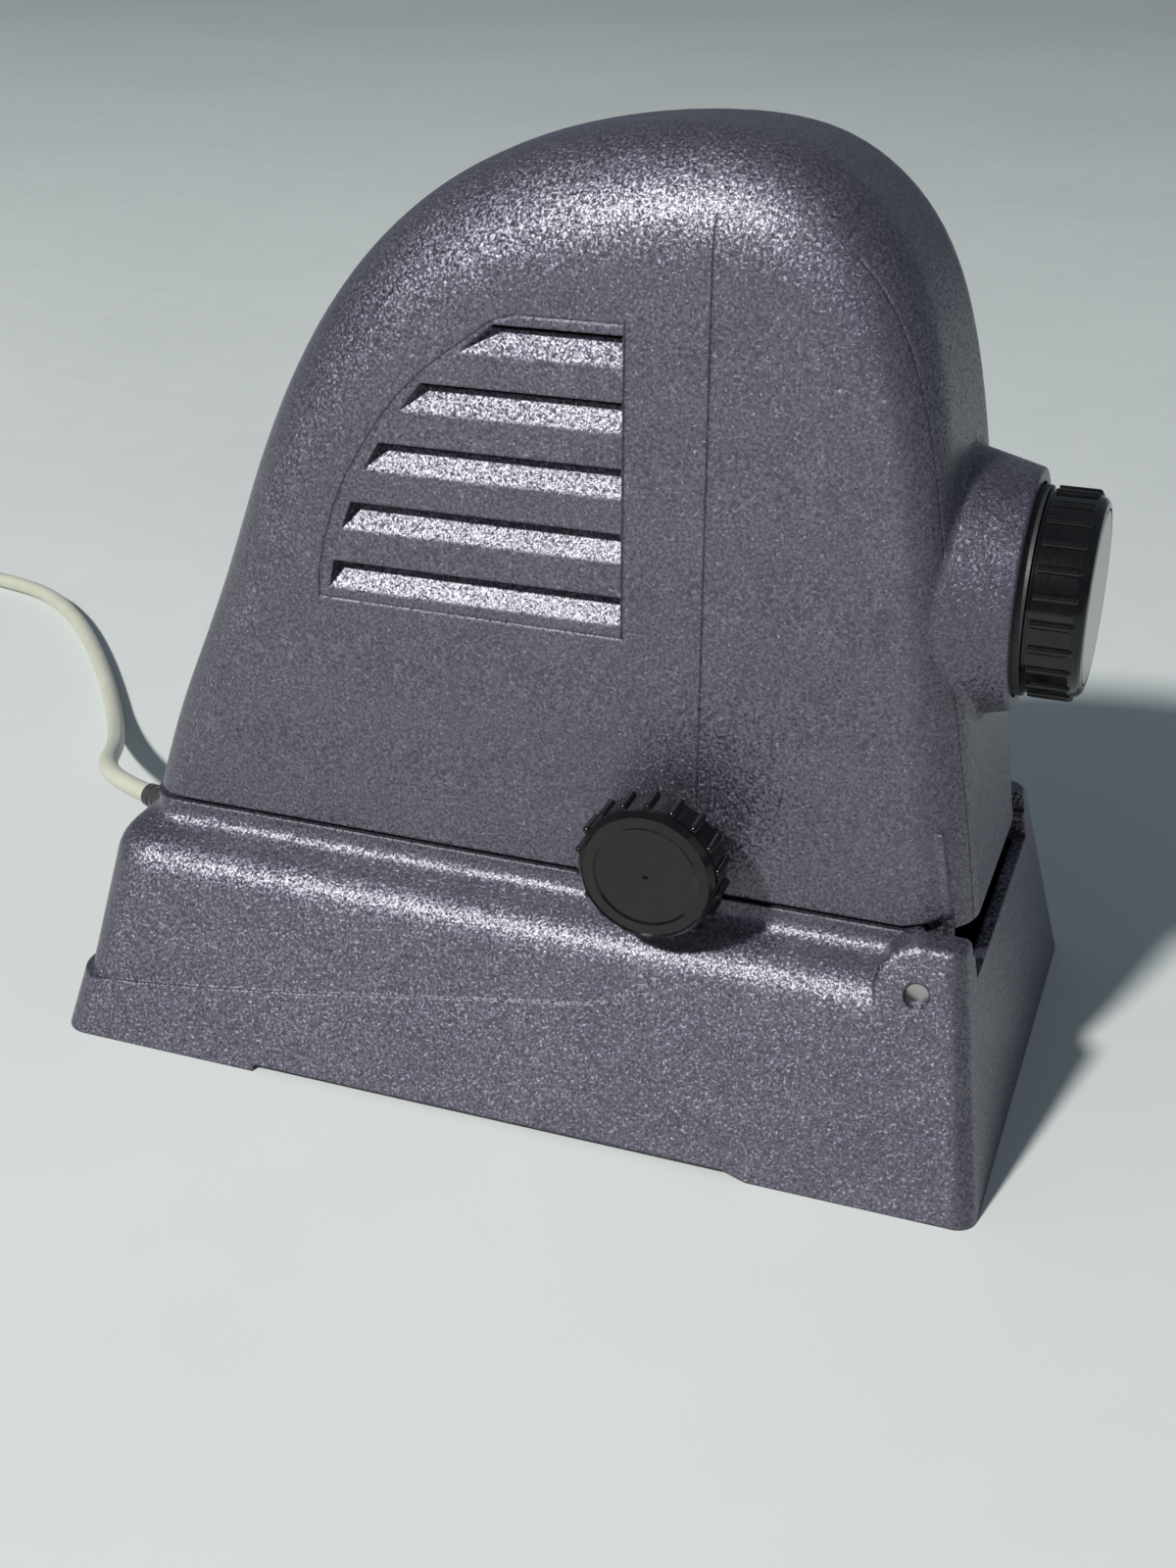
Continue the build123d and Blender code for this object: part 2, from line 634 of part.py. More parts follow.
pins = both(cyly(PIN_R, 26.6, 44.9, HINGE_X, HINGE_Z))
save("hinge_pins", pins)

# ---------------------------------------------------------------- bottom plate
bp = Solid.make_loft([plan(-204.2, 19.6, 58.4, 8, 5, BOTTOM_Z0), plan(-204.2, 19.6, 58.4, 8, 5, BOTTOM_Z1)], ruled=True)
for i in range(9):
    x = -165 + i * 14
    bp = bp - both(box(x, x + 4.5, 8, 42, 3, 5))
for x, y in PILLARS:
    bp = bp - both(cylz(2.0, 3, 5, x, y))
save("bottom_plate", bp)
scr = None
for x, y in PILLARS:
    for s in (1, -1):
        one = Pos(x, s * y, BOTTOM_Z0) * Rot(180, 0, 0) * pan_screw(3.2, 1.8, 1.65, 11)
        scr = one if scr is None else scr + one
save("bottom_plate_screws", scr)

# ---------------------------------------------------------------- chassis plate
ch = Solid.make_loft([plan(-187.6, -9, 31.2, 6, 5, CHASSIS_Z0), plan(-187.6, -9, 31.2, 6, 5, CHASSIS_Z1)], ruled=True)
ch = ch - box(-69.5, -56.5, -19.6, 19.6, 49, 53)
for x in (-104.0, -94.0):
    ch = ch - box(x, x + 3.2, -14, 14, 49, 53)
ch = ch - both(cylz(1.6, 49, 53, LAMP_X + 25.6, 4.8))
for x, y in ((-78.0, 13.0), (-45.5, 15.0), (LAMP_X + 8, 20.2), (LAMP_X - 12, 20.2)):
    ch = ch - both(cylz(SCREW_R + 0.05, 49, 53, x, y))
ch = ch - cylz(SCREW_R + 0.05, 49, 53, REFL_SCREW_X, 0)
for x, y in CHASSIS_SCREWS:
    ch = ch - both(cylz(2.0, 49, 53, x, y))
save("chassis_plate", ch)
scr = None
for x, y in CHASSIS_SCREWS:
    for s in (1, -1):
        one = Pos(x, s * y, CHASSIS_Z1) * pan_screw(3.4, 2.2, 1.65, 9)
        scr = one if scr is None else scr + one
save("chassis_screws", scr)

# ---------------------------------------------------------------- film gate
GX0, GX1 = -69.5, -64.9
gate = box(GX0, GX1, -23, 23, 84, 162)
gate = gate + both(box(GX1 - 0.1, -60.5, 17.75, 23, 90, 156))
gate = gate - box(-75, -60, -12.0, 12.0, LENS_Z - 9, LENS_Z + 9)
gate = gate - prism_x(
    [(-17, LENS_Z - 14), (17, LENS_Z - 14), (17, LENS_Z + 14), (-17, LENS_Z + 14)], GX0 - 1, GX0 + 2.2
)
gate = gate - prism_y([(GX1 - 0.9, 162.5), (GX1 + 0.1, 158), (GX1 + 0.1, 163), (GX1 - 0.9, 163)], -17.7, 17.7)
gate = gate - prism_y([(GX1 - 0.9, 83.5), (GX1 + 0.1, 88), (GX1 + 0.1, 83), (GX1 - 0.9, 83)], -17.7, 17.7)
for y in (-20.4, 20.4):
    for z in (100, 151):
        gate = gate - cylx(1.0, -66, -60, y, z)

plate = box(-64.5, -62.7, -17.3, 17.3, 92, 154) - box(-66, -60, -12.8, 12.8, LENS_Z - 9.8, LENS_Z + 9.8)
plate = plate + both(box(-64.7, -64.4, 12.9, 17.3, 93, 153))
for y in (-14.8, 14.8):
    for z in (104, 147):
        plate = plate + cylx(1.5, -62.8, -61.2, y, z)
save("gate_pressure_plate", plate)

bridge = box(-57.0, -55.8, -23, 23, 96, 155) - box(-60, -50, -18, 18, LENS_Z - 15, LENS_Z + 15)
spac = None
for y in (-20.4, 20.4):
    for z in (100, 151):
        s = cylx(2.2, -60.5, -57.0, y, z)
        spac = s if spac is None else spac + s
        bridge = bridge - cylx(1.05, -60, -50, y, z)
        s2 = Pos(-55.8, y, z) * Rot(0, 90, 0) * pan_screw(2.0, 1.3, 1.0, 9.5)
        spac = spac - cylx(1.0, -62, -56, y, z) + s2
save("gate_bridge", bridge)
save("gate_bridge_posts", spac)

springs = []
for y in (-14.8, 14.8):
    for z in (104, 147):
        h = Helix(pitch=1.1, height=4.6, radius=2.15)
        prof = Plane(origin=h @ 0, z_dir=h % 0) * Circle(0.22)
        sp = sweep(prof, path=h, is_frenet=True)
        springs.append(Pos(-61.9, y, z) * Rot(0, 90, 0) * sp)
save("gate_springs", Compound(children=[s for sp in springs for s in sp.solids()]))

# upright that carries the gate, folded back along both edges
br = box(-71.1, -69.5, -21.8, 21.8, CHASSIS_Z1, 100.5) + box(-84, -71.1, -21.8, 21.8, CHASSIS_Z1, CHASSIS_Z1 + 1.6)
br = br - box(-73, -68, -19, 19, 55.5, 82)
br = br + both(box(-77.5, -69.5, 20.3, 21.8, CHASSIS_Z1, 84.0))
br = br - both(cyly(2.0, 18, 23, -69.1, 67.6))
bracket_screws = []
for y in (-13, 13):
    br = br - cylz(SCREW_R + 0.2, 51, 54, -78, y)
    bracket_screws.append(bracket_screw(-78, y, CHASSIS_Z1 + 1.6))
for y in (-17, 17):
    for z in (88, 96):
        br = br - cylx(SCREW_R + 0.2, -73, -69, y, z)
        gate = gate - cylx(SCREW_R + 0.05, -70, -66.8, y, z)
        bracket_screws.append(Pos(-71.1, y, z) * Rot(0, -90, 0) * Pos(0, 0, 0) * pan_screw(2.2, 1.4, SCREW_R, 3.6))
save("film_gate_frame", gate)
save("gate_upright", br)

# ---------------------------------------------------------------- film drive
sprocket = cyly(9.0, -17.4, 17.4, SHAFT_X, SHAFT_Z)
sprocket = sprocket - (cyly(12, -12.3, 12.3, SHAFT_X, SHAFT_Z) - cyly(7.2, -13, 13, SHAFT_X, SHAFT_Z))
teeth = []
for i in range(12):
    for y in (-14.1, 14.1):
        t = Pos(SHAFT_X, y, SHAFT_Z) * Rot(0, i * 30 + 10, 0) * Pos(9.35, 0, 0) * Box(1.5, 1.6, 1.5)
        teeth.append(t)
sprocket = sprocket + union(teeth)
sprocket = sprocket - cyly(SHAFT_R, -20, 20, SHAFT_X, SHAFT_Z)
save("film_sprocket", sprocket)

shaft = cyly(SHAFT_R, -50.6, 28.6, SHAFT_X, SHAFT_Z)
shaft = shaft - box(SHAFT_X - 5, SHAFT_X + 5, -51, -42.8, SHAFT_Z + 2.2, SHAFT_Z + 4)
save("drive_shaft", shaft)

SIDE_Y0, SIDE_Y1 = 22.4, 24.0
side = prism_y(
    [(-74.5, CHASSIS_Z1), (-41, CHASSIS_Z1), (-41, 60), (-47, 79), (-52, 82), (-66, 82), (-74.5, 74)], SIDE_Y0, SIDE_Y1
)
side = side - cyly(4.5, 20, 26, SHAFT_X, SHAFT_Z) - cyly(1.55, 20, 26, -69.1, 67.6)
drive_bracket = both(side) + box(-50, -41, -SIDE_Y1, SIDE_Y1, CHASSIS_Z1, CHASSIS_Z1 + 1.6)
for y in (-15, 15):
    drive_bracket = drive_bracket - cylz(SCREW_R + 0.2, 51, 54, -45.5, y)
    bracket_screws.append(bracket_screw(-45.5, y, CHASSIS_Z1 + 1.6))
save("drive_bracket", drive_bracket)

bushes = both(
    tube_y(4.5, SHAFT_R + RUN_GAP, 21.2, 25.2, SHAFT_X, SHAFT_Z)
    + tube_y(6.2, SHAFT_R + RUN_GAP, 21.2, SIDE_Y0, SHAFT_X, SHAFT_Z)
)
save("drive_bushes", bushes)
collar = tube_y(5.4, SHAFT_R, 25.6, 27.8, SHAFT_X, SHAFT_Z)
save("shaft_collar", collar)

roller = tube_y(4.0, 1.5, -17.2, 17.2, -69.1, 67.6)
roller = roller - (cyly(5, -12.3, 12.3, -69.1, 67.6) - cyly(3.1, -13, 13, -69.1, 67.6))
for y in (-14.1, 14.1):
    roller = roller - (cyly(5, y - 1.5, y + 1.5, -69.1, 67.6) - cyly(3.0, y - 2, y + 2, -69.1, 67.6))
save("pressure_roller", roller)
axle = cyly(1.5, -24.4, 24.4, -69.1, 67.6)
save("roller_axle", axle)

# knob, 18 half-round ribs
KNOB_X, KNOB_Z = SHAFT_X, SHAFT_Z
TIP_Y = -51.0
f = face_of([
    (0, 0, -42.2), (9.5, 0, -42.2), (10.0, 0, -43.2), (15.4, 0, -43.2), (16.2, 0, -44.0), (16.2, 0, -50.6),
    (15.9, 0, -51.6), (15.3, 0, -52.4), (14.9, 0, -53.0), (14.5, 0, -52.6), (14.2, 0, -52.6), (12.2, 0, -52.7),
    (11.6, 0, -52.35), (0, 0, -52.2),
])
k = revolve(f, axis=Axis((0, 0, 0), (0, 0, 1)))
# the outline's z stands for y
k = Rot(-90, 0, 0) * k
kb = k.bounding_box()
if kb.min.Y > -20:
    k = Rot(180, 0, 0) * k
knob = Pos(KNOB_X, 0, KNOB_Z) * k
ribs = []
for i in range(18):
    a = 2.98 + math.radians(i * 20)
    x, z = KNOB_X + 16.3 * math.cos(a), KNOB_Z + 16.3 * math.sin(a)
    ribs.append(cyly(1.0, TIP_Y + 0.9, -44.2, x, z) + Pos(x, TIP_Y + 0.9, z) * Sphere(1.0))
knob = knob + union(ribs)
knob = knob - cyly(SHAFT_R, -50.6, -40, KNOB_X, KNOB_Z)
knob = knob - cylz(1.25, KNOB_Z, KNOB_Z + 10.6, KNOB_X, -42.9 - 1.6)
save("film_knob", knob)
grub = cylz(1.25, KNOB_Z + 2.2, KNOB_Z + 8.2, KNOB_X, -44.5)
save("knob_grub_screw", grub)

# ---------------------------------------------------------------- film chambers
SUP_X, SUP_Z = -62.0, 184.6
sup = tube_y(17.8, 17.0, -18.6, 18.6, SUP_X, SUP_Z)
sup = sup - box(-66.6, -62.4, -18.7, 18.7, 160, 170) - prism_y([(SUP_X, SUP_Z), (-36, 186), (-36, 215), (-52, 215)], -18.7, 18.7)
cheek = both(cyly(17.8, 18.5, 19.6, SUP_X, SUP_Z) - cyly(6.5, 18, 20, SUP_X, SUP_Z) - prism_y([(SUP_X + 3, SUP_Z + 5), (-36, 186), (-36, 215), (-52, 215)], 18, 20))
arms = both(box(GX0, GX1, 18.6, 21.0, 162.0, 184.0))
save("film_supply_chamber", sup + cheek + arms)

TK_X, TK_Z = -62.5, 27.5
tk = tube_y(15.8, 15.0, -18.6, 18.6, TK_X, TK_Z)
tk = tk - box(TK_X - 4.5, TK_X + 4.5, -18.7, 18.7, 38, 60)
tk = tk + both(cyly(15.8, 18.5, 19.5, TK_X, TK_Z))
tk = tk + both(box(TK_X - 7, TK_X + 7, 18.6, 19.6, TK_Z, CHASSIS_Z0)) + both(box(TK_X - 7, TK_X + 7, 19.6, 27.0, CHASSIS_Z0 - 1.2, CHASSIS_Z0))
tk = tk + box(TK_X - 5.3, TK_X - 4.5, -18.6, 18.6, 41.5, CHASSIS_Z0) + box(TK_X + 4.5, TK_X + 5.3, -18.6, 18.6, 41.5, CHASSIS_Z0)
save("film_takeup_chamber", tk)

# ---------------------------------------------------------------- condenser
ch_x0, ch_x1 = -98.0, -71.5
cond = tube_x(25.0, 22.5, ch_x0, ch_x1, 0, LENS_Z) + (box(ch_x1, GX0, -23, 23, 101, 150.2) - cylx(20.5, -75, -60, 0, LENS_Z))
cond = cond + (cylx(25.0, ch_x1 - 0.5, ch_x1, 0, LENS_Z) - cylx(20.5, -75, -60, 0, LENS_Z))
for x in (-94, -90, -86, -82, -78):
    cond = cond - (cylx(26, x, x + 1.6, 0, LENS_Z) - cylx(24.2, x - 1, x + 3, 0, LENS_Z))
save("condenser_housing", cond)
l1 = glass(22.3, -96.5, 0.0, -94.4, 6.8)
l2 = glass(22.3, -75.8, -6.8, -73.7, 0.0)
save("condenser_rear_lens", l1)
save("condenser_front_lens", l2)
cr = tube_x(22.45, 20.8, -98.0, -96.5, 0, LENS_Z) + tube_x(22.45, 21.5, -94.4, -75.8, 0, LENS_Z) + tube_x(22.45, 20.8, -73.7, -72.0, 0, LENS_Z)
cr = cr - l1 - l2
save("condenser_rings", cr)

hold = box(-103.6, -98.0, -25, 25, 100.6, 150.6) - box(-102.9, -99.4, -23.2, 23.2, 102.4, 155) - box(-104, -97, -20.5, 20.5, LENS_Z - 20.5, LENS_Z + 20.5)
hold = hold + both(box(-103.6, -98.0, 16, 22, CHASSIS_Z1, 101)) - both(box(-102.0, -97, 15, 23, 56, 97)) + both(box(-98.0, -90, 16, 22, CHASSIS_Z1, CHASSIS_Z1 + 1.6))
save("heat_glass_holder", hold)
hg = box(-102.6, -99.6, -23.0, 23.0, 102.4, 149.5)
save("heat_filter_glass", hg)

# ---------------------------------------------------------------- lamp
lb = box(LAMP_X - 21, LAMP_X + 17.5, -24, 24, CHASSIS_Z1, CHASSIS_Z1 + 1.5) + both(box(LAMP_X - 21, LAMP_X + 17.5, 22.5, 24, CHASSIS_Z1, CHASSIS_Z1 + 8))
LB1 = CHASSIS_Z1 + 1.5
for y in (-20.2, 20.2):
    for x in (LAMP_X + 8, LAMP_X - 12):
        lb = lb - cylz(SCREW_R + 0.2, 51, 54, x, y)
        bracket_screws.append(bracket_screw(x, y, LB1))
save("lamp_bracket", lb)
save("bracket_screws", Compound(children=[q for p in bracket_screws for q in p.solids()]))
sock = revolve_z([(0, LB1), (18.5, LB1), (18.5, 60), (19.0, 61), (19.0, 84), (17.8, 88.5), (14.6, 88.5), (14.2, 87.5), (14.2, 62), (0, 62)], LAMP_X, 0)
save("lamp_socket", sock)
zz = [(0, 62.0), (4.5, 62.0), (5.0, 64.0), (11.0, 66.0)]
z = 67.0
while z < 86:
    zz += [(13.0, z), (13.0, z + 0.8), (12.0, z + 1.8), (12.0, z + 2.6)]
    z += 3.6
zz += [(12.4, 88.2), (12.4, 91.0), (0, 91.0)]
save("lamp_cap", revolve_z(zz, LAMP_X, 0))
prof_o = [(11.6, 91.0), (11.8, 94), (13.2, 100), (14.6, 106), (15.0, 112), (15.0, 140), (14.2, 145.5), (12.0, 149.5), (8.0, 152.3), (4.0, 153.4), (0, 153.8)]
prof_i = [(0, 153.0), (3.8, 152.6), (7.6, 151.5), (11.4, 148.9), (13.5, 145.2), (14.2, 140), (14.2, 112), (13.8, 106.2), (12.4, 100.2), (11.0, 94), (10.8, 91.0)]
save("lamp_bulb", revolve_z(prof_o + prof_i, LAMP_X, 0))
stem = revolve_z([(0, 91), (6.0, 91), (4.0, 97), (2.6, 104), (0, 104)], LAMP_X, 0)
wires = None
for s in (-1, 1):
    w = cylz(0.45, 103, LENS_Z + 6, LAMP_X, s * 2.2) + cyly(0.45, min(s * 2.2, s * 6.0), max(s * 2.2, s * 6.0), LAMP_X, LENS_Z + 5.6)
    wires = w if wires is None else wires + w
stem = stem + wires
save("lamp_stem", stem)
fil = None
for i in range(5):
    y = -4.8 + i * 2.4
    c = cylz(0.55, LENS_Z - 4.5, LENS_Z + 5.4, LAMP_X, y)
    fil = c if fil is None else fil + c
fil = fil + cyly(0.4, -5.2, 5.2, LAMP_X, LENS_Z + 5.3)
fil = fil - wires
save("lamp_filament", fil)

# ---------------------------------------------------------------- reflector
RR = REFL_R
shell = (Pos(LAMP_X, 0, LENS_Z) * Sphere(RR + 1.0)) - (Pos(LAMP_X, 0, LENS_Z) * Sphere(RR))
refl = shell & cylx(18.5, LAMP_X - 40, LAMP_X - 20, 0, LENS_Z)
save("reflector", refl)
vx = LAMP_X - RR - 1.0
rb = box(vx - 1.3, vx - 0.0, -8, 8, CHASSIS_Z1, LENS_Z + 8) + box(vx - 15, vx, -8, 8, CHASSIS_Z1, CHASSIS_Z1 + 1.3)
rb = rb - cylz(SCREW_R + 0.2, 51, 54, vx - 9, 0)
rb = rb - (Pos(LAMP_X, 0, LENS_Z) * Sphere(RR + 1.0))
save("reflector_bracket", rb)
nut = Pos(vx - 1.3 - 2.4, 0, LENS_Z) * Rot(0, 90, 0) * extrude(RegularPolygon(3.2, 6), 2.4)
nut = nut + cylx(1.4, vx - 5.0, vx - 1.3, 0, LENS_Z) + bracket_screw(vx - 9, 0, CHASSIS_Z1 + 1.3)
save("reflector_fasteners", nut)

# ---------------------------------------------------------------- wiring
TB_X0, TB_X1 = -140.0, -112.0
tb = box(TB_X0, TB_X1, -9, 9, 38.5, CHASSIS_Z0)
tb = tb - cylx(2.8, TB_X0 - 1, TB_X0 + 6, 0, 43.5) - both(cylx(1.3, TB_X1 - 6, TB_X1 + 1, 4.5, 43.5))
for x in (-133, -119):
    for y in (-4.5, 4.5):
        tb = tb - cylz(2.4, 38, 41, x, y)
save("terminal_block", tb)
scr = None
for x in (-133, -119):
    for y in (-4.5, 4.5):
        one = Pos(x, y, 41.0) * (Cylinder(2.2, 1.2, align=(Align.CENTER, Align.CENTER, Align.MAX)) - Pos(0, 0, -1.2) * Box(6, 0.7, 1.0))
        scr = one if scr is None else scr + one
save("terminal_screws", scr)


def tube_path(points, radii, r):
    line = FilletPolyline(*points, radius=radii)
    prof = Plane(origin=line @ 0, z_dir=line % 0) * Circle(r)
    t = sweep(prof, path=line)
    return t, line.length


lead = None
for s in (1, -1):
    pts = [(LAMP_X + 18.9, s * 5.0, 58.5), (LAMP_X + 25.6, s * 5.0, 58.5), (LAMP_X + 25.6, s * 4.5, 43.5), (TB_X1 - 5.5, s * 4.5, 43.5)]
    t, ln = tube_path(pts, [3.5, 3.5], 1.2)
    lead = t if lead is None else lead + t
save("lamp_leads", lead)

inner_pts = [(-197.2, 0.3, CORD_Z), (-178, 0.3, CORD_Z), (-160, 0, 43.5), (TB_X0 + 5.5, 0, 43.5)]
inner_lead, ln = tube_path(inner_pts, [14, 14], CORD_R)
print("inner lead", round(ln, 1), vol(inner_lead), round(math.pi * CORD_R ** 2 * ln, 1))
save("mains_lead_inner", inner_lead)
clampb = box(-152.5, -145.5, -11, 11, 39.3, CHASSIS_Z0) - cylx(CORD_R, -160, -140, 0, 43.5)
clampb = clampb - both(box(-153, -145, 6.6, 12, 39, 48.2))
save("cord_clamp", clampb)

# strain relief, at the back of the base, turned in plan
gl = revolve_x([
    (0, CORD_R), (0, 3.3), (2.0, 3.45), (2.4, 3.15), (4.4, 3.6), (4.8, 3.3), (7.0, 3.85), (7.4, 3.5), (9.8, 4.15), (10.2, 3.8),
    (12.6, 4.5), (13.0, 4.2), (16.4, 4.9), (16.4, 6.6), (19.0, 6.6), (19.0, CORD_R),
])
GLAND_END = (-221.4, 6.2, CORD_Z)
tail = Pos(*GLAND_END) * Rot(0, 0, -CORD_TILT) * gl
grom = tube_x(5.0, CORD_R, -204.6, -198.4, 0.3, CORD_Z) + tube_x(6.6, CORD_R, -199.2, -197.2, 0.3, CORD_Z)
gland = tail + grom
wall_keep = base
gland = gland - wall_keep
gland = Compound(children=[s for s in gland.solids() if s.volume > 20])
save("cord_gland", gland)

# ---------------------------------------------------------------- mains cord
a18 = math.radians(CORD_TILT)
route = [
    GLAND_END,
    (GLAND_END[0] - 13.0 * math.cos(a18), GLAND_END[1] + 13.0 * math.sin(a18), 30.0),
    (-244.4, 19.4, 28.9),
    (-256.0, 40.5, 22.0),
    (-272.0, 64.5, 10.5),
    (-288.5, 89.0, 3.6),
    (-307.0, 113.5, CORD_R),
    (-328.0, 138.0, CORD_R),
    (-351.0, 161.5, CORD_R),
    (-376.0, 179.5, CORD_R),
    (-402.0, 185.3, CORD_R),
    (-424.0, 187.8, CORD_R),
    (-441.0, 188.2, CORD_R),
]


def even_radii(pts):
    """bend radii that use most of each run"""
    out = []
    for p, q, r in zip(pts, pts[1:], pts[2:]):
        u = Vector(*q) - Vector(*p)
        v = Vector(*r) - Vector(*q)
        out.append(0.45 * min(u.length, v.length) / math.tan(math.radians(u.get_angle(v)) / 2))
    return out


radii = even_radii(route)
print("runs", [round((Vector(*b) - Vector(*a)).length, 1) for a, b in zip(route, route[1:])])
print("radii", [round(x, 1) for x in radii])
cord, cord_len = tube_path(route, radii, CORD_R)
print("cord tube", round(cord_len, 1), vol(cord), round(math.pi * CORD_R ** 2 * cord_len, 1))

# the rest of the flex is put away in a flat coil, two layers high
COIL_X, COIL_Y = -450.0, 145.0
coil_prof = [(20.0, 0.0), (46.0, 0.0), (46.0, 11.4), (20.0, 11.4)]
coil = revolve_z(coil_prof, COIL_X, COIL_Y)
end_route = [(-489.5, 126.0, 8.6), (-485.0, 106.0, 8.4), (-474.5, 90.5, 8.0), (-460.0, 83.2, 7.4), (-447.0, 82.0, 7.0)]
end_radii = even_radii(end_route)
print("plug end radii", [round(x, 1) for x in end_radii])
cord_end, cord_end_len = tube_path(end_route, end_radii, CORD_R)
gap = (cord & gland)
print("cord in gland", vol(gap) if gap else 0)
save("mains_cord", Compound(children=[*cord.solids(), *cord_end.solids()]))
save("cord_coil", coil)
tie = box(COIL_X - 4, COIL_X + 4, COIL_Y - 47.2, COIL_Y - 18.8, 0.0, 12.6) - box(COIL_X - 5, COIL_X + 5, COIL_Y - 46.0, COIL_Y - 20.0, -1, 11.4)
tie = tie - coil
save("coil_tie", Compound(children=tie.solids()))

# generic flat two-pin plug, lying beside the coil, with its pins forward
PLUG_Y, PLUG_Z = 82.0, 7.0


def stadium(x, w, h):
    a, r = w / 2 - h / 2, h / 2
    pts = [(-a, -r), (a, -r), (a + r, 0), (a, r), (-a, r), (-a - r, 0)]
    v = [Vector(x, PLUG_Y + p[0], PLUG_Z + p[1]) for p in pts]
    return Wire([
        Edge.make_line(v[0], v[1]),
        Edge.make_three_point_arc(v[1], v[2], v[3]),
        Edge.make_line(v[3], v[4]),
        Edge.make_three_point_arc(v[4], v[5], v[0]),
    ])


plug = (
    Solid.make_loft([stadium(-435.0, 31.0, 13.8), stadium(-412.0, 32.0, 13.8)], ruled=True)
    + Solid.make_loft([stadium(-445.0, 13.0, 10.0), stadium(-435.0, 31.0, 13.8)], ruled=True)
    + Pos(-449.0, PLUG_Y, PLUG_Z) * Rot(0, 90, 0) * Cone(3.7, 4.9, 8.0)
)
save("mains_plug", plug)
pins = []
for s in (-1, 1):
    pin = cylx(2.0, -412.0, -394.5, PLUG_Y + s * 9.5, PLUG_Z) + Pos(-394.5, PLUG_Y + s * 9.5, PLUG_Z) * Sphere(2.0)
    pins += pin.solids()
save("plug_pins", Compound(children=pins))
print("done")
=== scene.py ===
import json
import math

import bmesh
import bpy
from mathutils import Matrix, Vector


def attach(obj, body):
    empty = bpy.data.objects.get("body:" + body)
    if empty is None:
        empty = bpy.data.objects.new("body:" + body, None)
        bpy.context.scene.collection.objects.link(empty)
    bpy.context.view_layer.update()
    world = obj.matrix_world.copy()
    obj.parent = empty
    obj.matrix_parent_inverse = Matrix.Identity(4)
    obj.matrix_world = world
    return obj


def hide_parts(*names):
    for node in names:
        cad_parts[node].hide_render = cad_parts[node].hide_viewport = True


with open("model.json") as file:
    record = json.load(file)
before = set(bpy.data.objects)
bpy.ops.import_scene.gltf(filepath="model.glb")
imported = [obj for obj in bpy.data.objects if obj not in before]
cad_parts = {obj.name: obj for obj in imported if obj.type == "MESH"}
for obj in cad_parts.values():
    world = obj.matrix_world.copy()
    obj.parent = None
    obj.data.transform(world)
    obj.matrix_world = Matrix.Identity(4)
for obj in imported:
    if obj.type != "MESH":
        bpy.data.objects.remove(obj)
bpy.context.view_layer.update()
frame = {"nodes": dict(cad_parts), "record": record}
NODES = frame["nodes"]
SLOT_OF = {s["node"]: s["material_slot"] for s in frame["record"]["subparts"]}
BODY_OF = {n: b for b, ns in frame["record"]["behaviour"]["bodies"].items() for n in ns}
SHIFT = 90.15
COL = bpy.context.scene.collection


def mm(x, y, z):
    """a point of the drawing, in mm, as metres in the object's frame"""
    return Vector(((x + SHIFT) / 1000.0, y / 1000.0, z / 1000.0))


# ---------------------------------------------------------------- camera
cam_data = bpy.data.cameras.new("camera")
cam_data.sensor_fit = "AUTO"
cam_data.sensor_width = 36.0
cam_data.lens = 44.55
cam_data.clip_start, cam_data.clip_end = 0.01, 20.0
cam = bpy.data.objects.new("camera", cam_data)
COL.objects.link(cam)
RIGHT = Vector((0.93863331, 0.34484001, -0.00727142))
UP = Vector((-0.15560091, 0.44216242, 0.88333502))
BACK = -Vector((-0.30782441, 0.82799623, -0.4686858))
m = Matrix.Identity(4)
for i, v in enumerate((RIGHT, UP, BACK)):
    for j in range(3):
        m[j][i] = v[j]
m.translation = Vector((0.150679, -0.400141, 0.286364))
cam.matrix_world = m
bpy.context.scene.camera = cam

# ---------------------------------------------------------------- cord
CORD_R = 2.75
TILT = math.radians(18.0)
END = (-221.4, 6.2, 30.0)
ROUTE = [
    END,
    (END[0] - 13.0 * math.cos(TILT), END[1] + 13.0 * math.sin(TILT), 30.0),
    (-244.4, 19.4, 28.9),
    (-256.0, 40.5, 22.0),
    (-272.0, 64.5, 10.5),
    (-288.5, 89.0, 3.6),
    (-307.0, 113.5, CORD_R),
    (-328.0, 138.0, CORD_R),
    (-351.0, 161.5, CORD_R),
    (-376.0, 179.5, CORD_R),
    (-402.0, 185.3, CORD_R),
    (-424.0, 187.8, CORD_R),
]
COIL = (-450.0, 145.0)
PITCH = 5.8
TURNS = 3.5
R_OUT, PER_TURN = 41.7, 24


